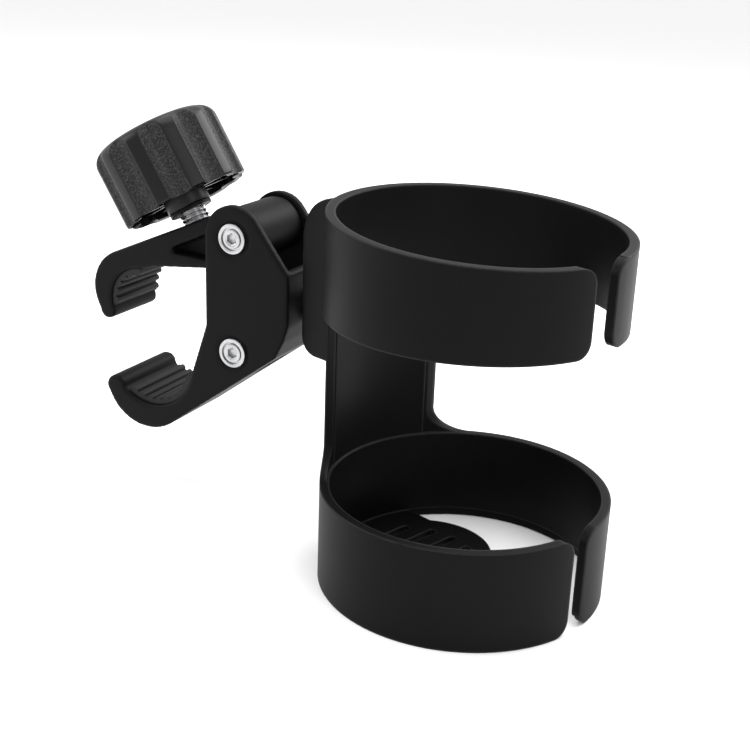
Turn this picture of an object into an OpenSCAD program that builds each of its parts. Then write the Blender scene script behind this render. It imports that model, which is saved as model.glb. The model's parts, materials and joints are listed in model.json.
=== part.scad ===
// Desk clamp cup holder: a cup cage on a ball joint, carried by a screw clamp.
// Origin: the cup's axis at the level of the underside. +X points to the cage's finger slot, +Z is up.
// The clamp's own frame starts at the ball's centre: u runs along its jaws, v across them.

/* [Cup cage] */
// Bore of the cup well
cup_bore_d = 86; // [70:1:100]
// Wall of the cage
cage_wall = 3; // [2:0.5:5]
// Height of the cage on its axis
cage_h = 117; // [95:1:140]
// Height of the upper ring on its axis
upper_ring_h = 29; // [20:1:36]
// Height of the lower ring
lower_ring_h = 32; // [20:1:40]
// Slope of the upper rim, falling towards the finger slot, in degrees
rim_slope = 4; // [0:0.5:6]
// Width of the spine across its outer corners
spine_w = 52; // [36:1:64]
// Width of the raised panel on the spine's inside
panel_w = 42; // [20:1:50]
// Fillet from the spine into the lower ring
spine_low_fillet = 9; // [3:1:11]
// Fillet from the spine into the upper ring
spine_top_fillet = 6; // [3:1:9]
// Finger slot through the upper ring
upper_slot_w = 10; // [6:0.5:20]
// Finger slot through the lower ring
lower_slot_w = 6; // [5:0.5:20]
// Corner radius of the ring fingers
finger_r = 5; // [2:0.5:8]

/* [Base tongue] */
// Diameter of the round tongue under the cup
tongue_d = 44; // [30:1:52]
// Distance of the tongue's centre behind the cup's axis
tongue_back = 15; // [10:1:18]
// Thickness of the tongue
tongue_t = 3; // [2:0.5:5]
// Width of its drain slots
drain_w = 2.6; // [1.5:0.1:4]
// Distance from one drain slot to the next
drain_pitch = 8; // [6:0.5:10]

/* [Mount block] */
// Width of the block
block_w = 32; // [28:1:36]
// Depth of the block behind the cage
block_depth = 15.3; // [14:0.1:20]
// Height of the block
block_h = 54; // [48:1:70]
// Lowest level of the block
block_z = 63.5; // [50:0.5:66]
// Radius of its upper outer corner
block_top_r = 14; // [4:1:18]
// Radius of its lower outer corner
block_low_r = 6; // [2:1:10]

/* [Ball joint] */
// Diameter of the ball
ball_d = 12; // [10:0.5:13]
// Height of the ball's centre, which is the swivel axis
swivel_z = 77; // [72:0.5:82]
// Turn of the clamp from the cup's centre line, in degrees
clamp_yaw = 19; // [0:1:26]
// Diameter of the stud's neck
neck_d = 6.4; // [5:0.2:7]
// Diameter of the stud's threaded shank
stud_d = 6; // [4:0.5:6]

/* [Clamp body] */
// Width over the two cheeks
body_w = 33; // [28:0.5:40]
// Thickness of a cheek
cheek_t = 3.2; // [2.5:0.1:5]
// Distance from the ball's centre to the rear wall
rear_reach = 15.2; // [14:0.1:20]
// Thickness of the rear wall
rear_wall = 4; // [3:0.5:6]
// Distance from the rear face to the two pivots
pivot_back = 21.2; // [20:0.1:26]
// Height of the upper pivot
upper_pivot_z = 99.6; // [96:0.1:104]
// Height of the lower pivot
lower_pivot_z = 60; // [57:0.1:62]
// Radius of the cheek's lobe round the upper pivot
lobe_r = 11; // [10:0.1:13]
// Top of the rear wall
shoulder_z = 89.5; // [87:0.5:92]
// Slope of the underside, in degrees
under_slope = 37; // [33:1:39]
// Radius of the rear lower corner
heel_r = 5; // [2:0.5:8]
// Floor of the pocket between the cheeks
floor_t = 2.8; // [2:0.1:3.5]

/* [Jaws] */
// Distance from the pivots to the centre of the lower jaw's mouth
mouth_reach = 35.1; // [32:0.1:40]
// Height of that centre
mouth_z = 52; // [48:0.5:56]
// Radius of the mouth
mouth_r = 18; // [15:0.5:20]
// Radius of the lower hook's outside
hook_r = 17.5; // [16:0.5:20]
// Height of the lower hook's tip centre
low_tip_z = 38.3; // [36:0.1:41]
// Radius of the lever's hub
hub_r = 9.6; // [8.5:0.1:10.5]
// Distance from the pivot to the centre of the upper hook
claw_reach = 46.3; // [44:0.1:50]
// Height of that centre
claw_z = 73.5; // [71:0.5:76]
// Radius of the upper hook's outside
claw_r = 14.8; // [14:0.1:17]
// Distance from the pivot to the centre of the upper grip
grip_reach = 41.3; // [40:0.1:44]
// Height of that centre
grip_z = 70; // [68:0.5:72]
// Radius of the upper grip
grip_r = 12.3; // [11:0.1:13]
// Height of the upper hook's tip centre
up_tip_z = 65.2; // [63:0.1:67]
// Thickness of a grip pad between its ribs
pad_t = 1.4; // [1:0.1:2.5]
// Radius of a pad's rib
rib_r = 1.2; // [0.8:0.1:1.6]

/* [Screw and knob] */
// Diameter of the clamp bolt
bolt_d = 10; // [8:0.5:12]
// Pitch of its thread
pitch = 1.5; // [1:0.25:2]
// Distance from the pivots to the point where the bolt meets the lever
seat_reach = 26.5; // [25:0.1:30]
// Height of that point
seat_z = 101.8; // [99:0.1:104]
// Depth of the three-cornered pocket in each side of the upper jaw
pocket_depth = 5.5; // [2:0.5:7]
// Depth of the washer's seat in the top of the upper jaw
seat_depth = 3; // [1:0.1:4]
// Gap between the jaw's top and the knob's washer
thread_gap = 1.2; // [0.5:0.1:8]
// How far the knob's hub stands out below its rim
hub_drop = 2.5; // [0.5:0.1:5]
// Diameter of the knob
knob_d = 45.6; // [36:0.1:50]
// Height of the knob
knob_h = 28; // [18:0.5:32]
// Number of finger scallops
scallops = 11; // [8:1:14]
// Wall of the knob
knob_wall = 2.6; // [2:0.2:4]
// Diameter of the knob's hub
hub_d = 15.8; // [15:0.2:20]
// Diameter of the cross nut
cross_nut_d = 13; // [12:0.1:15.4]
// Length of bolt that stands out below the cross nut
bolt_tail = 4; // [1:0.5:6]

/* [Fasteners] */
// Outside diameter of the pivot sleeves
sleeve_d = 8; // [7:0.5:9]
// Diameter of a bright flange
flange_d = 10.2; // [9:0.1:12]
// Diameter of a pivot screw's head
head_d = 6.3; // [6:0.1:7]
// Diameter of a pivot screw's shank
shank_d = 5; // [4:0.5:5]
// Diameter of a block screw
block_screw_d = 3.5; // [3:0.5:4]

/* [Fits] */
// Radial clearance where one piece turns in another
run_gap = 0.06; // [0.02:0.01:0.1]
// Gap between faces that pass or seat on each other
face_gap = 0.2; // [0.1:0.05:0.4]

/* [Hidden] */
$fn = 96;

plastic = [0.075, 0.075, 0.08];
grained = [0.10, 0.10, 0.105];
rubber = [0.05, 0.05, 0.05];
steel = [0.78, 0.79, 0.80];
nylon = [0.85, 0.85, 0.82];
past = 1; // how far a cut runs past a face

// cage
bore_r = cup_bore_d / 2;
cage_r = bore_r + cage_wall;
rim_rise = cage_r * tan(rim_slope);
spine_x = -sqrt(cage_r * cage_r - spine_w * spine_w / 4);
window_top_z = cage_h - upper_ring_h;
panel_relief = 0.5; // how far the spine's panel lies behind the rings' bore
spine_relief = 0.9; // how far the spine's margins lie behind it
drains = 4;
drain_margin = 8;
neck_of_tongue_w = tongue_d * 0.78;

// block and ball
ball_r = ball_d / 2;
ball_to_face = 7.3;
block_x = -cage_r - block_depth;
ball_x = block_x + ball_to_face;
socket_gap = 0.08;
mouth_plane = 2.4; // distance in front of the ball's centre where the socket's lip is narrowest
lip_r = sqrt(ball_r * ball_r - mouth_plane * mouth_plane) + socket_gap;
lip_flare = 27;
pad_washer_t = 0.8;
screw_spread = 12; // block screws, either side of the spine's middle, in degrees
screw_z = swivel_z + 17;
screw_head_d = 2 * block_screw_d;
screw_l = 11;
seat_gap = 0.05; // between seated or screwed faces of one body

// clamp
rear_u = -rear_reach;
pivot_u = rear_u - pivot_back;
inner_w = body_w - 2 * cheek_t;
lever_w = inner_w - 2 * 0.3;
mouth_u = pivot_u - mouth_reach;
hook_u = mouth_u - 2;
hook_z = mouth_z - 9.7;
claw_u = pivot_u - claw_reach;
grip_u = pivot_u - grip_reach;
front_u = pivot_u - lobe_r;
recess_d = 13;
recess_depth = 0.7;
tuck = 0.03; // how far a straight side that leaves a round end starts inside it

// directions in the side view
function polar(c, r, a) = [c[0] + r * cos(a), c[1] + r * sin(a)];
function left_of(c, r, z) = c[0] - sqrt(r * r - (z - c[1]) * (z - c[1]));
lobe_c = [pivot_u, upper_pivot_z];
mouth_c = [mouth_u, mouth_z];
hook_c = [hook_u, hook_z];
claw_c = [claw_u, claw_z];
grip_c = [grip_u, grip_z];

// underside: a straight line that leaves the hook circle as a tangent
under_start = polar(hook_c, hook_r, under_slope - 90);
function under_z(u) = under_start[1] + (u - under_start[0]) * tan(under_slope);

// the cheek's rear slope leaves the lobe as a tangent and ends on the rear face
to_shoulder = [rear_u - lobe_c[0], shoulder_z - lobe_c[1]];
lobe_tangent = atan2(to_shoulder[1], to_shoulder[0]) + acos(lobe_r / norm(to_shoulder));

// lower hook's tip
low_tip_out = left_of(hook_c, hook_r, low_tip_z);
low_tip_in = left_of(mouth_c, mouth_r, low_tip_z);
low_tip = [(low_tip_out + low_tip_in) / 2, low_tip_z];
low_tip_r = (low_tip_in - low_tip_out) / 2 + 0.15;
mouth_exit = polar(mouth_c, mouth_r, -10);
front_low = [front_u, lower_pivot_z + 8];
pocket_u = mouth_exit[0] + 3.3;

// upper jaw
up_tip_out = left_of(claw_c, claw_r, up_tip_z);
up_tip_in = left_of(grip_c, grip_r, up_tip_z);
up_tip = [(up_tip_out + up_tip_in) / 2, up_tip_z];
up_tip_r = (up_tip_in - up_tip_out) / 2 + 0.15;
to_claw = lobe_c - claw_c;
back_angle = atan2(to_claw[1], to_claw[0]) - asin((claw_r - hub_r) / norm(to_claw));

// bolt
seat_rise = seat_z - lower_pivot_z;
bolt_lean = atan2(seat_reach, seat_rise);
seat_t = norm([seat_reach, seat_rise]);
bolt_r = bolt_d / 2;
washer_t = 1.2;
washer_z = seat_t + thread_gap;
hub_z = washer_z + washer_t;
knob_z = hub_z + hub_drop;
knob_r = knob_d / 2;
scallop_r = knob_r * 0.30;
scallop_depth = 1.9;
bolt_head_af = 1.5 * bolt_d;
bolt_head_t = 5;
bolt_top = knob_z + knob_h - 4;
cross_nut_r = cross_nut_d / 2;
bolt_end = -cross_nut_r - bolt_tail;
thread_h = 0.6 * pitch;

module at_clamp() translate([ball_x, 0, 0]) rotate([0, 0, clamp_yaw]) children();
// each block screw's own frame: +Z runs outwards through the wall from the bore's surface
module at_block_screws() for (a = [-screw_spread, screw_spread])
    rotate([0, 0, a]) translate([-bore_r, 0, screw_z]) rotate([0, -90, 0]) children();
module at_bolt() at_clamp() translate([pivot_u, 0, lower_pivot_z]) rotate([0, -bolt_lean, 0]) children();
// an outline drawn in (u, z), made w wide across the clamp
module across(w) rotate([90, 0, 0]) linear_extrude(height = w, center = true) children();
// a round bar along v, from v0 to v1, at a point of the side view
module crosswise(c, r, v0, v1) translate([c[0], v0, c[1]]) rotate([-90, 0, 0]) cylinder(r = r, h = v1 - v0);
// hexagon socket, flats apart af, cut depth deep
module hex_socket(af, depth) translate([0, 0, -depth]) cylinder(d = af / cos(30), h = depth + past, $fn = 6);

// ---- cup cage ----

// an opening seen from the side, with two rounded corners at its low x end
module window_outline(x0, x1, z0, z1, r_low, r_top) {
    translate([x0, z0 + r_low]) square([x1 - x0, z1 - z0 - r_low - r_top]);
    translate([x0 + r_low, z0]) square([x1 - x0 - r_low, z1 - z0]);
    translate([x0 + r_top, z1 - r_top]) square([x1 - x0 - r_top, r_top]);
    translate([x0 + r_low, z0 + r_low]) circle(r_low);
    translate([x0 + r_top, z1 - r_top]) circle(r_top);
}

// a finger slot seen from the front, with the fingers' corners rounded off
module slot_outline(w, z0, z1) {
    difference() {
        translate([-w / 2 - finger_r, z0 - past]) square([w + 2 * finger_r, z1 - z0 + 2 * past]);
        for (side = [-1, 1]) {
            translate([side * (w / 2 + finger_r), z0 + finger_r]) circle(finger_r);
            translate([side * (w / 2 + finger_r), z1 - finger_r]) circle(finger_r);
            translate([side * (w / 2 + finger_r) - finger_r, z0 + finger_r])
                square([2 * finger_r, z1 - z0 - 2 * finger_r]);
        }
    }
}

module front_cut(w, z0, z1)
    rotate([90, 0, 90]) linear_extrude(height = cage_r + past) slot_outline(w, z0, z1);

// a thin cut into the spine's inside, between the rings, w wide
module spine_cut(r, w) intersection() {
    translate([0, 0, lower_ring_h]) cylinder(r = r, h = window_top_z - lower_ring_h);
    translate([-2 * cage_r, -w / 2, 0]) cube([2 * cage_r - past, w, cage_h]);
}

module tongue() {
    difference() {
        intersection() {
            cylinder(r = cage_r - cage_wall / 2, h = tongue_t);
            union() {
                translate([-tongue_back, 0, 0]) cylinder(d = tongue_d, h = tongue_t);
                translate([-cage_r, -neck_of_tongue_w / 2, 0])
                    cube([cage_r - tongue_back, neck_of_tongue_w, tongue_t]);
            }
        }
        for (i = [0 : drains - 1]) {
            x = -tongue_back + (drains / 2 - i - 0.5) * drain_pitch - 3.5;
            half = sqrt(pow(tongue_d / 2, 2) - pow(x + tongue_back, 2)) - drain_margin;
            translate([x - drain_w / 2, -half, -past]) cube([drain_w, 2 * half, tongue_t + 2 * past]);
        }
    }
}

module cup_cage() color(plastic) {
    difference() {
        cylinder(r = cage_r, h = cage_h + rim_rise);
        translate([0, 0, -past]) cylinder(r = bore_r, h = cage_h + rim_rise + 2 * past);
        translate([0, 0, -past]) cylinder(r = bore_r + spine_relief, h = tongue_t + past);
        spine_cut(bore_r + panel_relief, 2 * spine_w);
        difference() {
            spine_cut(bore_r + spine_relief, 2 * spine_w);
            spine_cut(bore_r + spine_relief + past, panel_w);
        }
        translate([0, 0, cage_h]) rotate([0, rim_slope, 0])
            translate([-2 * cage_r, -2 * cage_r, 0]) cube([4 * cage_r, 4 * cage_r, 3 * rim_rise + 2]);
        rotate([90, 0, 0]) linear_extrude(height = 3 * cage_r, center = true)
            window_outline(spine_x, 2 * cage_r, lower_ring_h, window_top_z, spine_low_fillet, spine_top_fillet);
        front_cut(upper_slot_w, window_top_z, cage_h - rim_rise);
        front_cut(lower_slot_w, 0, lower_ring_h);
        at_block_screws() {
            translate([0, 0, -2]) cylinder(d = screw_head_d + 2 * seat_gap, h = 2.3 + seat_gap);
            translate([0, 0, 0.3 + seat_gap])
                cylinder(d1 = screw_head_d + 2 * seat_gap, d2 = block_screw_d + 2 * seat_gap, h = 1.8);
            cylinder(d = block_screw_d + 2 * seat_gap, h = 2 * cage_wall);
        }
    }
    tongue();
}

// ---- mount block and ball joint ----

module block_outline() {
    x1 = -cage_r + cage_wall;
    z1 = block_z + block_h;
    difference() {
        translate([block_x, block_z]) square([x1 - block_x, block_h]);
        translate([block_x - past, z1 - block_top_r]) square([block_top_r + past, block_top_r + past]);
        translate([block_x - past, block_z - past]) square([block_low_r + past, block_low_r + past]);
    }
    translate([block_x + block_top_r, z1 - block_top_r]) intersection() {
        circle(block_top_r);
        translate([-block_top_r, 0]) square([block_top_r, block_top_r]);
    }
    translate([block_x + block_low_r, block_z + block_low_r]) intersection() {
        circle(block_low_r);
        translate([-block_low_r, -block_low_r]) square([block_low_r, block_low_r]);
    }
}

module mount_block() color(grained) difference() {
    across(block_w) block_outline();
    cylinder(r = cage_r + 0.05, h = 3 * cage_h, center = true);
    translate([ball_x, 0, swivel_z]) {
        sphere(r = ball_r + socket_gap);
        rotate([0, 90, 0]) cylinder(r = ball_r + socket_gap, h = block_depth);
        rotate([0, -90, 0]) cylinder(r = lip_r, h = mouth_plane + 0.01);
        translate([-mouth_plane, 0, 0]) rotate([0, -90, 0])
            cylinder(r1 = lip_r, r2 = lip_r + 10 * tan(lip_flare), h = 10);
    }
    at_block_screws() cylinder(d = block_screw_d + 2 * seat_gap, h = screw_l);
}

module block_screws() color(steel) at_block_screws() translate([0, 0, 0.3]) difference() {
    union() {
        cylinder(d = block_screw_d, h = screw_l - 1.5);
        cylinder(d1 = screw_head_d, d2 = block_screw_d, h = 1.8);
    }
    rotate([180, 0, 0]) hex_socket(2.2, 1);
}

module pressure_cup() color(nylon) difference() {
    back_x = -cage_r - pad_washer_t - 0.5;
    translate([ball_x + ball_r * 0.42, 0, swivel_z]) rotate([0, 90, 0])
        cylinder(r = ball_r, h = back_x - ball_x - ball_r * 0.42);
    translate([ball_x, 0, swivel_z]) sphere(r = ball_r + socket_gap);
}

module spring_pad() color(rubber) translate([-cage_r - pad_washer_t - 0.45, 0, swivel_z])
    rotate([0, 90, 0]) cylinder(r = ball_r - 0.5, h = pad_washer_t);

module ball_stud() color(steel) at_clamp() translate([0, 0, swivel_z]) rotate([0, -90, 0]) {
    sphere(r = ball_r);
    cylinder(d = neck_d, h = rear_reach - 1);
    translate([0, 0, rear_reach - 1.8]) cylinder(d = 2 * stud_d, h = 1.6);
    cylinder(d = stud_d, h = rear_reach + rear_wall + 8);
}

module swivel_washer() color(steel) at_clamp()
    translate([rear_u - rear_wall - face_gap, 0, swivel_z]) rotate([0, -90, 0]) difference() {
        cylinder(d = 2.1 * stud_d, h = 1.2);
        translate([0, 0, -past]) cylinder(r = stud_d / 2 + run_gap, h = 4);
    }

module swivel_nut() color(steel) at_clamp()
    translate([rear_u - rear_wall - 1.5 * face_gap - 1.2, 0, swivel_z]) rotate([0, -90, 0]) difference() {
        cylinder(d = 1.9 * stud_d, h = 5, $fn = 6);
        translate([0, 0, -past]) cylinder(r = stud_d / 2 + run_gap, h = 8);
    }

// ---- clamp body ----

module body_shape() difference() {
    union() {
        crosswise(lobe_c, lobe_r, -body_w / 2, body_w / 2);
        crosswise(hook_c, hook_r, -body_w / 2, body_w / 2);
        across(body_w) polygon([
            [front_u + tuck, upper_pivot_z],
            polar(lobe_c, lobe_r - tuck, lobe_tangent),
            [rear_u, shoulder_z],
            [rear_u, under_z(rear_u) + heel_r * 1.6],
            [rear_u - heel_r * 0.35, under_z(rear_u - heel_r * 0.35) + heel_r * 0.75],
            [rear_u - heel_r, under_z(rear_u - heel_r)],
            polar(hook_c, hook_r - tuck, under_slope - 90),
            hook_c,
            mouth_exit,
            front_low]);
    }
    crosswise(mouth_c, mouth_r, -body_w, body_w);
    across(2 * body_w) polygon([
        mouth_exit, front_low, [front_u, 2 * cage_h], [low_tip_out - 20, 2 * cage_h],
        [low_tip_out - 20, low_tip_z], [low_tip_in, low_tip_z], mouth_c]);
}

// the hollow between the cheeks, open at the top and towards the mouth
module pocket_outline() {
    rise = floor_t / cos(under_slope);
    polygon([
        [pocket_u, under_z(pocket_u) + rise],
        [rear_u - rear_wall, under_z(rear_u - rear_wall) + rise],
        [rear_u - rear_wall, shoulder_z + past],
        [rear_u + past, shoulder_z + past],
        [rear_u + past, 2 * cage_h],
        [pocket_u, 2 * cage_h]]);
}

module clamp_body() color(plastic) at_clamp() difference() {
    union() {
        body_shape();
        crosswise(low_tip, low_tip_r, -body_w / 2, body_w / 2);
    }
    across(inner_w) pocket_outline();
    for (z = [lower_pivot_z, upper_pivot_z]) {
        crosswise([pivot_u, z], sleeve_d / 2 + run_gap, -body_w, body_w);
        for (side = [-1, 1]) translate([pivot_u, side * (body_w / 2 + past), z]) rotate([side * 90, 0, 0])
            cylinder(d = recess_d, h = recess_depth + past);
    }
    translate([rear_u + past, 0, swivel_z]) rotate([0, -90, 0])
        cylinder(r = stud_d / 2 + run_gap, h = rear_wall + 2 * past);
    translate([pivot_u, 0, lower_pivot_z]) rotate([0, 180 - bolt_lean - 3, 0]) cylinder(r = bolt_r + 2, h = 30);
}

// a ribbed liner on the inside of a jaw, between two angles round its centre
module grip_pad(c, r, a0, a1, w, ribs) {
    seat_r = r - 0.05;
    difference() {
        across(w) difference() {
            translate(c) circle(seat_r);
            translate(c) circle(seat_r - pad_t);
            translate(c) polygon([[0, 0], for (k = [0 : 6]) polar([0, 0], 3 * r, a1 + k * (a0 + 360 - a1) / 6)]);
        }
    }
    for (k = [0 : ribs - 1]) {
        a = a0 + (k + 0.5) * (a1 - a0) / ribs;
        crosswise(polar(c, seat_r - pad_t, a), rib_r, -w / 2, w / 2);
    }
}

module lower_jaw_pad() color(rubber) at_clamp()
    grip_pad(mouth_c, mouth_r, 236, 346, body_w - 3, 9);

// ---- upper jaw ----

module lever_shape() difference() {
    union() {
        crosswise(lobe_c, hub_r, -lever_w / 2, lever_w / 2);
        crosswise(claw_c, claw_r, -lever_w / 2, lever_w / 2);
        across(lever_w) polygon([
            polar(claw_c, claw_r - tuck, back_angle + 90),
            polar(lobe_c, hub_r - tuck, back_angle + 90),
            lobe_c,
            [front_u + 2, upper_pivot_z - 12.3],
            [grip_u + 6.7, grip_z + grip_r + 2],
            [grip_u, grip_z + grip_r],
            claw_c]);
    }
    crosswise(grip_c, grip_r, -body_w, body_w);
    across(2 * lever_w) polygon([
        [claw_u - 2 * claw_r, up_tip_z - 40], [claw_u - 2 * claw_r, up_tip_z], [grip_u, up_tip_z],
        [grip_u, grip_z + grip_r], [grip_u + 6.7, grip_z + grip_r + 2],
        [grip_u + 20, grip_z + grip_r + 3.5], [grip_u + 20, up_tip_z - 40]]);
}

// outline of the blind pocket in each of the lever's sides
module lever_window() difference() {
    polygon([
        [pivot_u - 27.4, upper_pivot_z - 9.3], [pivot_u - 26.6, upper_pivot_z - 7.2],
        [pivot_u - 8, upper_pivot_z + 1.2], [pivot_u - 8, upper_pivot_z - 10]]);
    translate(lobe_c) circle(hub_r + 1.2);
}

// room for the bolt as the lever turns round it
module bolt_slot_outline() {
    side = bolt_r + 1.2;
    polygon([
        [-side - 1.9, seat_t + 8], [side + 1.9, seat_t + 8], [side + 0.4, seat_t - 2.6],
        [side + 5.4, seat_t - 30], [-side - 6.6, seat_t - 30], [-side - 0.6, seat_t]]);
}

module upper_jaw() color(plastic) difference() {
    at_clamp() difference() {
        union() {
            lever_shape();
            crosswise(up_tip, up_tip_r, -lever_w / 2, lever_w / 2);
        }
        for (side = [-1, 1]) translate([0, side * (lever_w - pocket_depth), 0])
            across(lever_w) lever_window();
        crosswise(lobe_c, sleeve_d / 2 + run_gap, -lever_w, lever_w);
    }
    at_bolt() across(bolt_d + 1.6) bolt_slot_outline();
    at_bolt() translate([0, 0, seat_t - seat_depth]) cylinder(r = hub_d / 2 + 1.2, h = 20);
}

module upper_jaw_pad() color(rubber) at_clamp()
    grip_pad(grip_c, grip_r, 88, 193, lever_w - 2, 6);

// ---- pivots ----

// a flanged tube: its tube from v = 0 inwards, its flange standing out, its well for a screw head
module flanged_tube(l, bore) rotate([-90, 0, 0]) difference() {
    union() {
        cylinder(d = sleeve_d, h = l);
        translate([0, 0, -1.3]) cylinder(d = flange_d, h = 1.3);
    }
    translate([0, 0, -3]) cylinder(r = bore, h = l + 6);
    translate([0, 0, -3]) cylinder(d = head_d + 0.7, h = 3.9);
}

// a socket-head screw: its head's seat at v = 0, its shank pointing to +v
module socket_screw(l) rotate([-90, 0, 0]) difference() {
    union() {
        translate([0, 0, -2.1]) cylinder(d = head_d, h = 2.1);
        cylinder(d = shank_d, h = l);
    }
    translate([0, 0, -2.1]) rotate([180, 0, 0]) hex_socket(3, 1.3);
}

near_v = -body_w / 2 + recess_depth; // level where the near flanges seat
head_seat = 0.85;
nut_l = cheek_t - recess_depth + 2;

module upper_pivot_sleeve() color(steel) at_clamp() translate([pivot_u, near_v, upper_pivot_z])
    flanged_tube(-2 * near_v - nut_l - face_gap, shank_d / 2 + run_gap);

module upper_pivot_screw() color(steel) at_clamp() translate([pivot_u, near_v + head_seat, upper_pivot_z])
    socket_screw(-2 * near_v - 2.5);

module upper_pivot_nut() color(steel) at_clamp() translate([pivot_u, -near_v, upper_pivot_z])
    rotate([0, 0, 180]) flanged_tube(nut_l, shank_d / 2 + run_gap);

module lower_eyelets() color(steel) at_clamp() for (turn = [0, 180])
    translate([pivot_u, 0, lower_pivot_z]) rotate([0, 0, turn]) translate([0, near_v, 0])
        flanged_tube(cheek_t - recess_depth, shank_d / 2 + run_gap);

module lower_pivot_screws() color(steel) at_clamp() for (turn = [0, 180])
    translate([pivot_u, 0, lower_pivot_z]) rotate([0, 0, turn]) translate([0, near_v + head_seat, 0])
        socket_screw(-near_v - head_seat - bolt_r - 1.2);

module cross_nut() color(steel) {
    half = inner_w / 2 - 0.4;
    difference() {
        at_clamp() difference() {
            crosswise([pivot_u, lower_pivot_z], cross_nut_r, -half, half);
            crosswise([pivot_u, lower_pivot_z], shank_d / 2 + 0.05, bolt_r + 1, body_w);
            crosswise([pivot_u, lower_pivot_z], shank_d / 2 + 0.05, -body_w, -bolt_r - 1);
        }
        at_bolt() cylinder(r = bolt_r + run_gap, h = 4 * cross_nut_r, center = true);
    }
}

// ---- bolt and knob ----

module thrust_washer() color(nylon) at_bolt() translate([0, 0, washer_z]) difference() {
    cylinder(d = hub_d - 0.4, h = washer_t - 0.1);
    translate([0, 0, -past]) cylinder(r = bolt_r + run_gap, h = 4);
}

// one side of the thread, as a zigzag of crests and roots
function zigzag(z0, turns) = [for (k = [0 : turns - 1]) each
    [[bolt_r - thread_h, z0 + k * pitch], [bolt_r, z0 + (k + 0.5) * pitch]]];

module clamp_bolt() color(steel) at_bolt() {
    thread_z = bolt_end + 1;
    turns = floor((knob_z + 2 - thread_z) / pitch);
    root = bolt_r - thread_h;
    rotate_extrude() polygon(concat(
        [[0, bolt_end], [root - 0.6, bolt_end], [root, thread_z - 0.4]],
        zigzag(thread_z, turns),
        [[root, thread_z + turns * pitch], [root, bolt_top - bolt_head_t], [0, bolt_top - bolt_head_t]]));
    translate([0, 0, bolt_top - bolt_head_t - 0.01]) cylinder(d = bolt_head_af * 0.9, h = bolt_head_t - 0.3, $fn = 6);
}

module knob_outline(r) difference() {
    circle(r);
    for (k = [0 : scallops - 1]) rotate(k * 360 / scallops)
        translate([knob_r + scallop_r - scallop_depth, 0]) circle(scallop_r);
}

module knob() color(plastic) at_bolt() translate([0, 0, knob_z]) {
    deck = 3;
    inner_r = knob_r - scallop_depth - knob_wall;
    difference() {
        intersection() {
            translate([0, 0, -past]) linear_extrude(height = knob_h + 2 * past) knob_outline(knob_r + 1);
            rotate_extrude() polygon(concat(
                [[0, 0], [knob_r - 0.8, 0], [knob_r, 0.8]],
                [for (a = [0 : 15 : 75]) polar([knob_r - 5, knob_h - 6], 5, a)],
                [[0, knob_h]]));
        }
        translate([0, 0, -past]) cylinder(r = inner_r, h = knob_h - deck + past);
    }
    difference() {
        union() {
            translate([0, 0, hub_z - knob_z]) cylinder(d = hub_d, h = knob_h - deck + 1.01);
            for (k = [0 : scallops - 1]) rotate((k + 0.5) * 360 / scallops)
                translate([hub_d / 2 - 1, -0.7, 2]) cube([inner_r - hub_d / 2 + 2, 1.4, knob_h - deck - 1.9]);
        }
        translate([0, 0, -9]) cylinder(r = bolt_r + 0.05, h = bolt_top - bolt_head_t - knob_z + 9);
        translate([0, 0, bolt_top - bolt_head_t - knob_z - 0.06])
            cylinder(d = bolt_head_af * 0.9 + 0.1, h = bolt_head_t, $fn = 6);
    }
}

cup_cage();
mount_block();
block_screws();
pressure_cup();
spring_pad();
ball_stud();
swivel_washer();
swivel_nut();
clamp_body();
lower_jaw_pad();
upper_jaw();
upper_jaw_pad();
upper_pivot_sleeve();
upper_pivot_screw();
upper_pivot_nut();
lower_eyelets();
lower_pivot_screws();
cross_nut();
thrust_washer();
clamp_bolt();
knob();
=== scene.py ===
import bpy, bmesh, json, math
from mathutils import Matrix, Vector

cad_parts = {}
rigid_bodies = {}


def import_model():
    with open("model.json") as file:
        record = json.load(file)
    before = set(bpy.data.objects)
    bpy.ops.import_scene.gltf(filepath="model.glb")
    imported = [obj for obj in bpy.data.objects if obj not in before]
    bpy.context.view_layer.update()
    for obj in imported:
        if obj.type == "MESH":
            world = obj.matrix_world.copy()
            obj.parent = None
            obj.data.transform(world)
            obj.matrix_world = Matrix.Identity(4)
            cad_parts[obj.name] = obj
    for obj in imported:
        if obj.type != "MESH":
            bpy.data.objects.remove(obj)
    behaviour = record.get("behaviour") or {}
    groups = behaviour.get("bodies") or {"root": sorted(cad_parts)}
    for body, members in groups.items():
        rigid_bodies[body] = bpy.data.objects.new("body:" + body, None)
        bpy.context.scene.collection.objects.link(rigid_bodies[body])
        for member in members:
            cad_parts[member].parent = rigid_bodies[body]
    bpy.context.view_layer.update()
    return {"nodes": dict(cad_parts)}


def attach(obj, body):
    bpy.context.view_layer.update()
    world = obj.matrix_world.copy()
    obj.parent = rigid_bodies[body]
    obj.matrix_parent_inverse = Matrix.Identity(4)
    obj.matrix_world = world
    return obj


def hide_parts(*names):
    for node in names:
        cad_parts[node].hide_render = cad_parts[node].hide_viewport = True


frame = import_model()
nodes = frame["nodes"]
mm = 0.001
print("frame loaded")

# where the clamp stands: its own frame starts at the ball's centre, u along the jaws, v across them
clampPlace = {"ball": (-54.0, 0.0), "turn": 19.0, "pivotU": -36.4, "lowerPivot": 60.0, "upperPivot": 99.6,
              "seatU": -62.9, "seatHeight": 101.8}


def clampMatrix():
    p = clampPlace
    foot = Matrix.Translation((p["ball"][0] * mm, p["ball"][1] * mm, 0))
    return foot @ Matrix.Rotation(math.radians(p["turn"]), 4, "Z")


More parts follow.
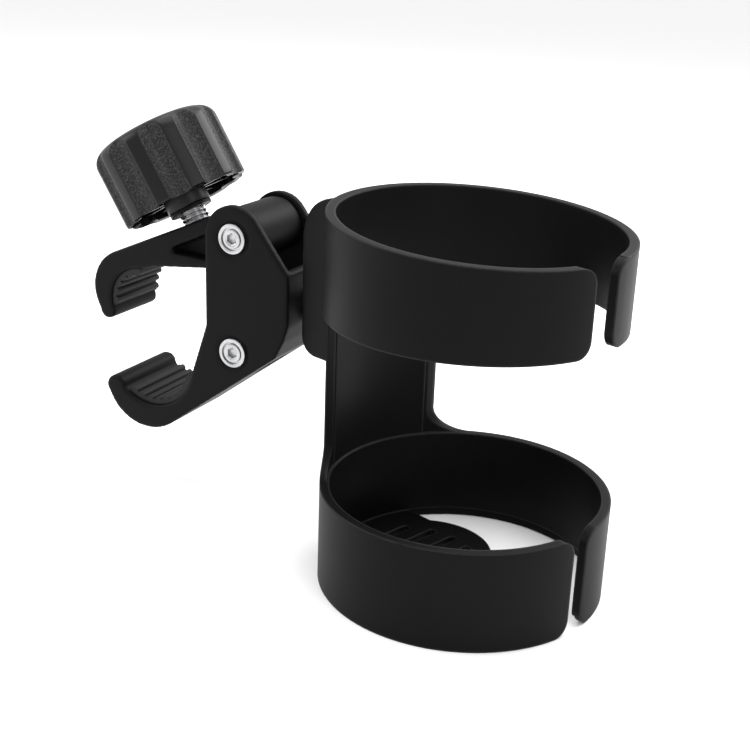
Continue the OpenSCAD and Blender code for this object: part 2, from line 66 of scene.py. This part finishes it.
def boltMatrix():  # origin at the lower pivot, +Z along the bolt towards the knob
    p = clampPlace
    lean = math.atan2(p["pivotU"] - p["seatU"], p["seatHeight"] - p["lowerPivot"])
    pivot = Matrix.Translation((p["pivotU"] * mm, 0, p["lowerPivot"] * mm))
    return clampMatrix() @ pivot @ Matrix.Rotation(-lean, 4, "Y")


class Sock:  # a value socket that takes part in sums
    def __init__(self, tree, socket):
        self.tree, self.socket = tree, socket

    def calc(self, op, a, b=None, clamp=False):
        n = self.tree.nodes.new("ShaderNodeMath")
        n.operation, n.use_clamp = op, clamp
        for slot, x in zip(n.inputs, (a, b)):
            if isinstance(x, Sock):
                self.tree.links.new(x.socket, slot)
            elif x is not None:
                slot.default_value = x
        return Sock(self.tree, n.outputs[0])

    def __add__(self, o): return self.calc("ADD", self, o)
    def __radd__(self, o): return self.calc("ADD", o, self)
    def __sub__(self, o): return self.calc("SUBTRACT", self, o)
    def __rsub__(self, o): return self.calc("SUBTRACT", o, self)
    def __mul__(self, o): return self.calc("MULTIPLY", self, o)
    def __truediv__(self, o): return self.calc("DIVIDE", self, o)
    def clamped(self): return self.calc("ADD", self, 0.0, clamp=True)


class Finish:
    def __init__(self, name):
        self.mat = bpy.data.materials.new(name)
        self.mat.use_nodes = True
        self.tree = self.mat.node_tree
        self.shader = self.tree.nodes["Principled BSDF"]
        self.coord = self.node("ShaderNodeTexCoord").outputs["Object"]

    def node(self, kind, settings=None, **values):  # settings first, then the sockets
        n = self.tree.nodes.new(kind)
        for key, x in (settings or {}).items():
            setattr(n, key, x)
        for key, x in values.items():
            self.put(n.inputs[key.replace("_", " ")], x)
        return n

    def put(self, socket, x):
        if isinstance(x, Sock):
            x = x.socket
        if isinstance(x, bpy.types.NodeSocket):
            self.tree.links.new(x, socket)
        else:
            socket.default_value = x

    def noise(self, scale, detail=3.0, rough=0.6, stretch=None):
        where = self.coord
        if stretch:
            where = self.node("ShaderNodeMapping", Vector=where, Scale=stretch).outputs[0]
        n = self.node("ShaderNodeTexNoise", Vector=where, Scale=scale, Detail=detail, Roughness=rough)
        return Sock(self.tree, n.outputs[0])

    def cells(self, scale):
        n = self.node("ShaderNodeTexVoronoi", Vector=self.coord, Scale=scale)
        return Sock(self.tree, n.outputs["Distance"])

    def edges(self, radius):  # 1 on outside edges, 0 on open faces
        bevel = self.node("ShaderNodeBevel", {"samples": 4}, Radius=radius).outputs[0]
        flat = self.node("ShaderNodeNewGeometry").outputs["Normal"]
        n = self.node("ShaderNodeVectorMath", {"operation": "DOT_PRODUCT"})
        self.put(n.inputs[0], bevel)
        self.put(n.inputs[1], flat)
        return ((1 - Sock(self.tree, n.outputs["Value"])) * 6).clamped()

    def mask(self, name):  # a number kept on the mesh's points
        return Sock(self.tree, self.node("ShaderNodeAttribute", {"attribute_name": name}).outputs["Fac"])

    def bump(self, height, strength, distance, rounding=0.0):
        n = self.node("ShaderNodeBump", Strength=strength, Distance=distance)
        self.put(n.inputs["Height"], height)
        if rounding:
            self.put(n.inputs["Normal"], self.node("ShaderNodeBevel", {"samples": 6}, Radius=rounding).outputs[0])
        self.put(self.shader.inputs["Normal"], n.outputs[0])

    def mixColour(self, amount, a, b):
        n = self.node("ShaderNodeMix", {"data_type": "RGBA"})
        self.put(n.inputs[0], amount)
        self.put(n.inputs[6], a)
        self.put(n.inputs[7], b)
        return n.outputs[2]


# plastics: body tones, roughness, and the grain's scale, depth and rounded edges in metres
# the edge lightening is partly wear and partly a painted highlight where light would catch the rounded rims; the cage's
# amount is raised for its rim highlight
plasticBasis = {"spread": 0.10, "edgeWearAndSheen": 0.35, "shine": 0.075, "grained": None, "rounding": 0.0,
                "broadScale": 38.0, "wearAndSheenPatchScale": 190.0, "edgeWidth": 0.0009}
plasticLooks = {
    "mouldedBlack": {"dark": (0.0018, 0.0018, 0.0019, 1), "light": (0.0042, 0.0042, 0.0044, 1), "roughness": 0.42,
                     "grainScale": 2600.0, "grainDepth": 0.000022, "rounding": 0.0012, "edgeWearAndSheen": 1.6},
    "coarseBlack": {"dark": (0.0016, 0.0016, 0.0017, 1), "light": (0.0075, 0.0075, 0.0078, 1), "roughness": 0.50,
                    "grainScale": 1500.0, "grainDepth": 0.00009},
    "jawBlack": {"dark": (0.0022, 0.0022, 0.0023, 1), "light": (0.0058, 0.0058, 0.0060, 1), "roughness": 0.46,
                 "grainScale": 2600.0, "grainDepth": 0.00003},
    "knobBlack": {"dark": (0.0022, 0.0022, 0.0023, 1), "light": (0.0050, 0.0050, 0.0052, 1), "roughness": 0.30,
                  "grainScale": 1700.0, "grainDepth": 0.00030, "shine": 0.22, "grained": "fluteMask",
                  "gripDark": (0.006, 0.006, 0.006, 1), "gripLight": (0.044, 0.044, 0.045, 1), "gripRoughness": 0.16},
    "blackNylon": {"dark": (0.003, 0.003, 0.003, 1), "light": (0.006, 0.006, 0.006, 1), "roughness": 0.35,
                   "grainScale": 3000.0, "grainDepth": 0.00001, "rounding": 0.0003}}


def mouldedPlastic(name):
    look = {**plasticBasis, **plasticLooks[name]}
    f = Finish(name)
    grain, broad = f.noise(look["grainScale"], 2.0, 0.55), f.noise(look["broadScale"], 3.0, 0.5)
    pits = f.cells(look["grainScale"] * 0.55)
    wearAndSheenPatches = f.noise(look["wearAndSheenPatchScale"], 5.0, 0.7, (1.0, 1.0, 0.35))
    edge = f.edges(look["edgeWidth"])
    tone = (broad * 0.8 + grain * 0.3 - 0.05).clamped()
    # outside edges lighten in patches: partly rubbed wear, partly painted highlight standing in for light on the
    # rounded edges
    edgeWearAndSheenColour = tuple(min(1.0, c * 2.6 + 0.02) for c in look["light"][:3]) + (1,)
    colour = f.mixColour((edge * wearAndSheenPatches * look["edgeWearAndSheen"]).clamped(), f.mixColour(tone, look["dark"], look["light"]), edgeWearAndSheenColour)
    height = grain * 0.7 + pits * 0.5
    if look["grained"]:  # coarse and paler only inside the grips
        grip = f.mask(look["grained"])
        height = height * (grip * 0.9 + 0.1)
        speck = ((grain - 0.42) * 3.2).clamped()
        colour = f.mixColour(grip, colour, f.mixColour(speck, look["gripDark"], look["gripLight"]))
        rough = look["roughness"] + grip * look["gripRoughness"] + broad * look["spread"] - look["spread"] / 2
    else:
        rough = look["roughness"] - look["spread"] / 2 + broad * look["spread"] + grain * 0.06 - edge * 0.05
    f.put(f.shader.inputs["Base Color"], colour)
    f.put(f.shader.inputs["Roughness"], rough.clamped())
    f.bump(height, 0.5, look["grainDepth"], look["rounding"])
    f.shader.inputs["Specular IOR Level"].default_value = look["shine"]
    return f.mat


steelLook = {"dull": (0.30, 0.30, 0.31, 1), "bright": (0.62, 0.62, 0.63, 1), "roughness": 0.2, "stainScale": 240.0,
             "fineScale": 2600.0, "lineScale": 900.0, "lineDepth": 0.00002, "rounding": 0.0002}


def brightSteel(name):
    look = steelLook
    f = Finish(name)
    stain, fine = f.noise(look["stainScale"], 4.0, 0.6), f.noise(look["fineScale"], 2.0, 0.5)
    lines = f.noise(look["lineScale"], 2.0, 0.4, (1.0, 1.0, 6.0))  # turning marks
    f.put(f.shader.inputs["Base Color"], f.mixColour((stain * 1.1 - 0.1).clamped(), look["dull"], look["bright"]))
    f.shader.inputs["Metallic"].default_value = 1.0
    f.put(f.shader.inputs["Roughness"], (look["roughness"] + stain * 0.14 + fine * 0.06 - 0.05).clamped())
    f.bump(lines, 0.25, look["lineDepth"], look["rounding"])
    return f.mat


rubberLook = {"dark": (0.0055, 0.0055, 0.0055, 1), "light": (0.017, 0.017, 0.017, 1), "roughness": 0.50, "shine": 0.2,
              "grainScale": 3000.0, "broadScale": 60.0, "edgeWidth": 0.0006, "grainDepth": 0.00002, "rounding": 0.0004}


def softRubber(name):
    look = rubberLook
    f = Finish(name)
    grain, broad = f.noise(look["grainScale"], 2.0, 0.6), f.noise(look["broadScale"], 4.0, 0.6)
    edge = f.edges(look["edgeWidth"])
    body = f.mixColour((broad + edge * 0.25).clamped(), look["dark"], look["light"])
    f.put(f.shader.inputs["Base Color"], body)
    f.put(f.shader.inputs["Roughness"], (look["roughness"] + broad * 0.16 + grain * 0.05).clamped())
    f.bump(grain, 0.4, look["grainDepth"], look["rounding"])
    f.shader.inputs["Specular IOR Level"].default_value = look["shine"]
    return f.mat


cagePlastic, blockPlastic = mouldedPlastic("mouldedBlack"), mouldedPlastic("coarseBlack")
jawPlastic, knobPlastic = mouldedPlastic("jawBlack"), mouldedPlastic("knobBlack")
nylon = mouldedPlastic("blackNylon")
steel = brightSteel("brightSteel")
rubber = softRubber("padRubber")
print("finishes made")

# every frame shape gets its finish; steel where none is named
finishOf = {"cup_cage": cagePlastic, "mount_block": blockPlastic, "clamp_body": jawPlastic, "upper_jaw": jawPlastic,
            "knob": knobPlastic, "lower_jaw_pad": rubber, "upper_jaw_pad": rubber, "spring_pad": rubber,
            "pressure_cup": nylon, "thrust_washer": nylon}
for name, obj in nodes.items():
    mat = finishOf.get(name, steel)
    obj.data.materials.clear()
    obj.data.materials.append(mat)


def addMesh(name, verts, faces, place):  # millimetres in, metres out
    me = bpy.data.meshes.new(name)
    me.from_pydata([tuple(c * mm for c in v) for v in verts], [], faces)
    me.transform(place)
    return me


def finishPiece(name, me, body, replaced, finish, sharp=50.0):
    bm = bmesh.new()
    bm.from_mesh(me)
    bmesh.ops.remove_doubles(bm, verts=bm.verts, dist=1e-7)
    bmesh.ops.recalc_face_normals(bm, faces=bm.faces)
    bm.to_mesh(me)
    bm.free()
    me.polygons.foreach_set("use_smooth", [True] * len(me.polygons))
    me.set_sharp_from_angle(angle=math.radians(sharp))
    me.materials.clear()
    me.materials.append(finish)
    obj = bpy.data.objects.new(name, me)
    bpy.context.scene.collection.objects.link(obj)
    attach(obj, body)
    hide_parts(replaced)
    return obj


def loft(rings, start, end):  # rings of equal count between two poles
    n = len(rings[0])
    verts = [start] + [v for ring in rings for v in ring] + [end]
    faces = [(0, 1 + (i + 1) % n, 1 + i) for i in range(n)]
    for r in range(len(rings) - 1):
        a, b = 1 + r * n, 1 + (r + 1) * n
        faces += [(a + i, a + (i + 1) % n, b + (i + 1) % n, b + i) for i in range(n)]
    last = 1 + (len(rings) - 1) * n
    faces += [(last + i, last + (i + 1) % n, len(verts) - 1) for i in range(n)]
    return verts, faces


def joinMeshes(parts):
    verts, faces = [], []
    for v, f in parts:
        base = len(verts)
        verts += list(v)
        faces += [tuple(base + i for i in face) for face in f]
    return verts, faces


class Recipe:  # a Geometry Nodes tree with named inputs
    def __init__(self, name, inputs):
        self.tree = bpy.data.node_groups.new(name, "GeometryNodeTree")
        self.ids = {}
        self.tree.interface.new_socket(name="Geometry", in_out="INPUT", socket_type="NodeSocketGeometry")
        self.tree.interface.new_socket(name="Geometry", in_out="OUTPUT", socket_type="NodeSocketGeometry")
        for key, (kind, _) in inputs.items():
            self.ids[key] = self.tree.interface.new_socket(name=key, in_out="INPUT", socket_type=kind).identifier
        self.inputs = inputs
        self.start = self.tree.nodes.new("NodeGroupInput")
        self.end = self.tree.nodes.new("NodeGroupOutput")

    def value(self, key):
        return Sock(self.tree, self.start.outputs[key])

    def node(self, kind, settings=None, **values):
        n = self.tree.nodes.new(kind)
        for key, x in (settings or {}).items():
            setattr(n, key, x)
        for key, x in values.items():
            self.put(n.inputs[key.replace("_", " ")], x)
        return n

    def put(self, socket, x):
        if isinstance(x, Sock):
            x = x.socket
        if isinstance(x, bpy.types.NodeSocket):
            self.tree.links.new(x, socket)
        else:
            socket.default_value = x

    def vector(self, x=0.0, y=0.0, z=0.0):
        return self.node("ShaderNodeCombineXYZ", X=x, Y=y, Z=z).outputs[0]

    def bake(self, name, geometry, finish):  # plain mesh out of the finished tree
        real = self.node("GeometryNodeRealizeInstances", Geometry=geometry)
        painted = self.node("GeometryNodeSetMaterial", Geometry=real.outputs[0], Material=finish)
        self.put(self.end.inputs[0], painted.outputs[0])
        carrier = bpy.data.objects.new(name, bpy.data.meshes.new(name))
        bpy.context.scene.collection.objects.link(carrier)
        mod = carrier.modifiers.new(name, "NODES")
        mod.node_group = self.tree
        for key, (_, x) in self.inputs.items():
            mod[self.ids[key]] = x
        return plainMesh(carrier)


def plainMesh(carrier):  # what the modifiers make, without them
    me = bpy.data.meshes.new_from_object(carrier.evaluated_get(bpy.context.evaluated_depsgraph_get()))
    bpy.data.objects.remove(carrier)
    return me


def meshParts(me):  # back to millimetres, to join with lofted parts
    return [tuple(c / mm for c in v.co) for v in me.vertices], [tuple(f.vertices) for f in me.polygons]


# knob: scalloped shell, open underneath, with a hub and a ring of ribs

knobSizes = {"radius": 22.8, "height": 28.0, "rise": 54.39, "flutes": 11, "fluteRadius": 5.0, "fluteDepth": 2.2,
             "turn": 10.0, "crown": 5.0, "crownDrop": 6.0, "crownBends": 16, "crownSweep": 78.0, "wall": 2.4,
             "deck": 3.2, "hubRadius": 7.9, "hubRise": 51.89, "soft": 0.25, "softInside": 0.4, "ribThick": 1.4, "ribRise": 2.0,
             "perFlute": 28, "hubSteps": 64}


def fluteEdge(angle, k):  # distance from the axis to the grip's surface, large between grips
    pitchAngle = 2 * math.pi / k["flutes"]
    off = (angle + pitchAngle / 2) % pitchAngle - pitchAngle / 2
    far = k["radius"] + k["fluteRadius"] - k["fluteDepth"]
    inside = k["fluteRadius"] ** 2 - (far * math.sin(off)) ** 2
    return far * math.cos(off) - math.sqrt(inside) if inside > 0 else 2 * k["radius"]


def softLeast(a, b, soft):
    h = max(soft - abs(a - b), 0.0) / soft
    return min(a, b) - h * h * soft / 4


def knobProfile(k):  # radius and height pairs, from the rim up and over the crown
    rim, top = k["radius"], k["height"]
    rows = [(rim - 0.8, 0.0), (rim - 0.35, 0.12), (rim - 0.08, 0.4), (rim, 0.8)]
    rows += [(rim, z) for z in range(2, int(top - k["crownDrop"]), 2)]
    for i in range(k["crownBends"] + 1):
        a = math.radians(k["crownSweep"] * i / k["crownBends"])
        rows.append((rim - k["crown"] + k["crown"] * math.cos(a), top - k["crownDrop"] + k["crown"] * math.sin(a)))
    lastR, lastZ = rows[-1]
    return rows + [(lastR * share, lastZ + (top - lastZ) * (1 - share ** 1.6)) for share in (0.75, 0.5, 0.25, 0.08)]


def circle(r, z, angles):
    return [(r * math.cos(t), r * math.sin(t), z) for t in angles]


def makeKnob():
    k = knobSizes
    n = k["flutes"] * k["perFlute"]
    angles = [2 * math.pi * i / n for i in range(n)]
    edges = [fluteEdge(t, k) for t in angles]
    rim, top = k["radius"], k["height"]
    rings, mask = [circle(3, top - k["deck"], angles)], [[0.0] * n]  # the deck inside
    for z in (top - k["deck"], 20, 14, 8, 3, 0.5):
        widths = [softLeast(rim - k["wall"], edge - k["wall"], k["softInside"]) for edge in edges]
        rings.append([(w * math.cos(t), w * math.sin(t), z) for w, t in zip(widths, angles)])
        mask.append([0.0] * n)
    for r, z in knobProfile(k):
        widths = [softLeast(r, edge, k["soft"]) if r > rim * 0.6 else r for edge in edges]
        rings.append([(w * math.cos(t), w * math.sin(t), z) for w, t in zip(widths, angles)])
        mask.append([1.0 if edge < r - 0.12 else 0.0 for edge in edges])
    shell = loft(rings, (0, 0, top - k["deck"]), (0, 0, top))
    hubLow, hubR = k["hubRise"] - k["rise"], k["hubRadius"]
    hubAngles = [2 * math.pi * i / k["hubSteps"] for i in range(k["hubSteps"])]
    hubRows = ((5.2, hubLow), (hubR - 0.5, hubLow), (hubR - 0.15, hubLow + 0.15), (hubR, hubLow + 0.5), (hubR, 6.0),
               (hubR, top - 2.0))
    hub = loft([circle(r, z, hubAngles) for r, z in hubRows], (0, 0, hubLow), (0, 0, top - 2.0))
    verts, faces = joinMeshes([shell, hub, ribRing(k)])
    lift = Matrix.Translation((0, 0, k["rise"] * mm)) @ Matrix.Rotation(math.radians(k["turn"]), 4, "Z")
    me = addMesh("fluteKnob", verts, faces, boltMatrix() @ lift)
    values = [0.0] + [x for row in mask for x in row] + [0.0]
    values += [0.0] * (len(me.vertices) - len(values))
    me.attributes.new("fluteMask", "FLOAT", "POINT").data.foreach_set("value", values)
    finishPiece("fluteKnob", me, "screw", "knob", knobPlastic, 40.0)


def ribRing(k):
    inner, outer = k["hubRadius"] - 1.0, k["radius"] - k["fluteDepth"] - k["wall"] + 0.5
    tall = k["height"] - k["deck"] - k["ribRise"] + 0.5
    real = "NodeSocketFloat"
    r = Recipe("ribRing", {"Count": ("NodeSocketInt", k["flutes"]), "Length": (real, (outer - inner) * mm),
                           "Thickness": (real, k["ribThick"] * mm), "Height": (real, tall * mm),
                           "Middle": (real, (outer + inner) / 2 * mm), "Rise": (real, (k["ribRise"] + tall / 2) * mm)})
    box = r.node("GeometryNodeMeshCube", Size=r.vector(r.value("Length"), r.value("Thickness"), r.value("Height")))
    moved = r.node("GeometryNodeTransform", Geometry=box.outputs[0],
                   Translation=r.vector(r.value("Middle"), 0.0, r.value("Rise")))
    points = r.node("GeometryNodePoints", Count=r.value("Count"))
    index = Sock(r.tree, r.node("GeometryNodeInputIndex").outputs[0])
    turn = (index + 0.5) * (2 * math.pi) / r.value("Count")
    placed = r.node("GeometryNodeInstanceOnPoints", Points=points.outputs[0], Instance=moved.outputs[0],
                    Rotation=r.vector(0.0, 0.0, turn))
    return meshParts(r.bake("ribRing", placed.outputs[0], knobPlastic))


# bolt: a plain core with a helical thread round it

boltSizes = {"radius": 5.0, "core": 4.2, "pitch": 1.5, "low": -7.2, "high": 76.0, "threadLow": -6.4, "threadHigh": 57.5,
             "ridge": 1.5, "columns": 48, "steps": 36}


def makeBolt():
    b = boltSizes
    columns = [2 * math.pi * i / b["columns"] for i in range(b["columns"])]
    rows = ((b["core"] - 0.7, b["low"]), (b["core"], b["low"] + 0.7), (b["core"], 20.0), (b["core"], b["high"]))
    core = loft([circle(r, z, columns) for r, z in rows], (0, 0, b["low"]), (0, 0, b["high"]))
    rise, real = b["threadHigh"] - b["threadLow"], "NodeSocketFloat"
    r = Recipe("helicalThread", {"Turns": (real, rise / b["pitch"]),
                                 "Radius": (real, (b["radius"] - b["ridge"] / 2) * mm), "Height": (real, rise * mm),
                                 "Ridge": (real, b["ridge"] * mm), "Steps": ("NodeSocketInt", b["steps"])})
    spiral = r.node("GeometryNodeCurveSpiral", Resolution=r.value("Steps"), Rotations=r.value("Turns"),
                    Start_Radius=r.value("Radius"), End_Radius=r.value("Radius"), Height=r.value("Height"))
    upright = r.node("GeometryNodeSetCurveNormal", {"mode": "Z_UP"}, Curve=spiral.outputs[0])
    ridge = r.node("GeometryNodeCurvePrimitiveCircle", {"mode": "RADIUS"}, Resolution=4,  # four corners
                   Radius=r.value("Ridge") * 0.5)
    swept = r.node("GeometryNodeCurveToMesh", Curve=upright.outputs[0], Profile_Curve=ridge.outputs[0], Fill_Caps=True)
    lifted = r.node("GeometryNodeTransform", Geometry=swept.outputs[0],
                    Translation=(0.0, 0.0, b["threadLow"] * mm))
    thread = meshParts(r.bake("helicalThread", lifted.outputs[0], steel))
    verts, faces = joinMeshes([core, thread])
    me = addMesh("threadedBolt", verts, faces, boltMatrix())
    finishPiece("threadedBolt", me, "screw", "clamp_bolt", steel, 30.0)


# moulded bodies: the frame's shapes with their edges rounded as a mould leaves them

# name: node, body, slot, skin cell in mm, rounds of softening
mouldSizes = {"clampCheeks": ("clamp_body", "clamp", "black_plastic", 0.62, 7),
              "upperLever": ("upper_jaw", "jaw", "black_plastic", 0.6, 7),
              "swivelBlock": ("mount_block", "cup", "grained_plastic", 0.6, 12)}


def makeMoulding(name, finish):
    node, body, slotName, voxel, rounds = mouldSizes[name]
    me = nodes[node].data.copy()
    place = clampMatrix() if body != "cup" else Matrix.Identity(4)
    me.transform(place.inverted())
    bm = bmesh.new()
    bm.from_mesh(me)
    bmesh.ops.remove_doubles(bm, verts=bm.verts, dist=2e-6)
    bm.to_mesh(me)
    bm.free()
    carrier = bpy.data.objects.new(name + "Carrier", me)
    bpy.context.scene.collection.objects.link(carrier)
    mod = carrier.modifiers.new("skin", "REMESH")
    mod.mode, mod.voxel_size, mod.adaptivity = "VOXEL", voxel * mm, 0.0
    mod = carrier.modifiers.new("soften", "SMOOTH")
    mod.factor, mod.iterations = 0.5, rounds
    out = plainMesh(carrier)
    out.transform(place)
    finishPiece(name, out, body, node, finish, 75.0)
    print(name, len(out.polygons), "faces")


# socket-head fasteners: flange ring, dark groove, head with a hexagon socket

headSizes = {"flange": 5.1, "flangeIn": 3.85, "head": 3.3, "socket": 1.75, "socketDeep": 1.9, "groove": 0.9,
             "around": 72, "shank": 3.6, "upperStart": 0.5, "lowerStart": 6.0}


def headShape(h, base, tip):  # along +Z, from the shank's end at base to the head's face at tip
    around = [2 * math.pi * i / h["around"] for i in range(h["around"])]

    def hexagon(r):
        return [r / math.cos((t + math.pi / 6) % (math.pi / 3) - math.pi / 6) for t in around]

    profile = ((h["shank"], base - tip), (h["shank"], -1.6), (h["flange"], -1.55), (h["flange"], -0.30),
               (h["flange"] - 0.06, -0.12), (h["flange"] - 0.22, -0.02), (h["flange"] - 0.42, 0.0),
               (h["flangeIn"] + 0.2, 0.0), (h["flangeIn"] + 0.05, -0.08), (h["flangeIn"], -0.25),
               (h["flangeIn"], -h["groove"]), (h["head"], -h["groove"]), (h["head"], -0.35), (h["head"] - 0.08, -0.16),
               (h["head"] - 0.3, -0.06), (h["head"] - 0.6, -0.06), (h["socket"] + 0.45, -0.12))
    rows = [([r] * len(around), tip + z) for r, z in profile]
    walls = ((0.98, 0.32), (0.94, 0.5), (0.94, h["socketDeep"]))
    rows += [(hexagon(h["socket"] * share), tip - z) for share, z in walls]
    rings = [[(r * math.cos(t), r * math.sin(t), z) for r, t in zip(radii, around)] for radii, z in rows]
    return loft(rings, (0, 0, base), (0, 0, tip - h["socketDeep"] - 0.35))


def makeFasteners():
    p, h = clampPlace, headSizes
    back = clampMatrix().inverted()
    sets = (("upperFastener", ("upper_pivot_screw", "upper_pivot_sleeve"), p["upperPivot"], h["upperStart"], (-1,)),
            ("lowerFasteners", ("lower_pivot_screws", "lower_eyelets"), p["lowerPivot"], h["lowerStart"], (-1, 1)))
    for name, replaced, height, start, sides in sets:
        across = [(back @ v.co).y / mm for node in replaced for v in nodes[node].data.vertices]
        parts = []
        for side in sides:
            verts, faces = headShape(h, start, max(side * v for v in across))
            parts.append(([(p["pivotU"] + x, side * z, height + y) for x, y, z in verts], faces))
        verts, faces = joinMeshes(parts)
        me = addMesh(name, verts, faces, clampMatrix())
        obj = finishPiece(name, me, "clamp", replaced[0], steel, 35.0)
        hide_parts(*replaced)


makeMoulding("clampCheeks", jawPlastic)
makeMoulding("upperLever", jawPlastic)
makeMoulding("swivelBlock", blockPlastic)
print("moulded bodies made")
makeBolt()
makeFasteners()
makeKnob()
print("bolt and knob made")

# the floor's half side, and how far it lies under the part, in metres
stageSizes = {"floor": 14.0, "drop": 0.0002, "tone": (0.92, 0.92, 0.92, 1)}


def makeFloor():
    s, low = stageSizes["floor"], -stageSizes["drop"]
    me = bpy.data.meshes.new("floor")
    me.from_pydata([(-s, -s, low), (s, -s, low), (s, s, low), (-s, s, low)], [], [(0, 1, 2, 3)])
    floor = bpy.data.objects.new("floor", me)
    bpy.context.scene.collection.objects.link(floor)
    f = Finish("paleFloor")
    f.shader.inputs["Base Color"].default_value = stageSizes["tone"]
    f.shader.inputs["Roughness"].default_value = 0.9
    f.shader.inputs["Specular IOR Level"].default_value = 0.1
    me.materials.append(f.mat)


# name: place, aim, width and height in metres, watts
lightSizes = {"overhead": ((-0.1, 0.1, 1.1), (-0.03, 0, 0.06), 1.2, None, 12.0),
              "leftFront": ((-0.9, -0.8, 0.6), (-0.06, 0, 0.07), 0.7, 0.9, 5.0),
              "rightSide": ((0.9, -0.1, 0.5), (0, 0, 0.06), 0.5, 0.8, 2.0),
              "behind": ((0.1, 1.0, 0.7), (-0.05, 0, 0.06), 0.9, 0.5, 8.0)}


def softBox(name):
    at, aim, width, height, power = lightSizes[name]
    data = bpy.data.lights.new(name, "AREA")
    data.energy, data.size = power, width
    if height:
        data.shape, data.size_y = "RECTANGLE", height
    obj = bpy.data.objects.new(name, data)
    obj.location = at
    obj.rotation_euler = (Vector(aim) - Vector(at)).to_track_quat("-Z", "Y").to_euler()
    bpy.context.scene.collection.objects.link(obj)


def makeCamera():
    view = {"at": (0.2229, -0.2674, 0.1932), "azimuth": 44.7, "elevation": 19.84, "roll": 2.16, "lens": 57.6}
    a, e, r = (math.radians(view[k]) for k in ("azimuth", "elevation", "roll"))
    right = Vector((math.cos(a), math.sin(a), 0))
    ahead = Vector((-math.sin(a) * math.cos(e), math.cos(a) * math.cos(e), -math.sin(e)))
    up = right.cross(ahead)
    right, up = right * math.cos(r) + up * math.sin(r), up * math.cos(r) - right * math.sin(r)
    turn = Matrix((right, up, -ahead)).transposed().to_4x4()
    data = bpy.data.cameras.new("camera")
    data.lens, data.sensor_width, data.clip_start, data.clip_end = view["lens"], 36.0, 0.005, 60.0
    cam = bpy.data.objects.new("camera", data)
    cam.matrix_world = Matrix.Translation(view["at"]) @ turn
    bpy.context.scene.collection.objects.link(cam)
    bpy.context.scene.camera = cam


makeFloor()
makeCamera()
for lamp in lightSizes:
    softBox(lamp)
world = bpy.data.worlds.new("paleWorld")
world.use_nodes = True
world.node_tree.nodes["Background"].inputs["Color"].default_value = (1, 1, 1, 1)
world.node_tree.nodes["Background"].inputs["Strength"].default_value = 1.0
bpy.context.scene.world = world
bpy.context.scene.view_settings.view_transform = "Standard"
print("stage ready")
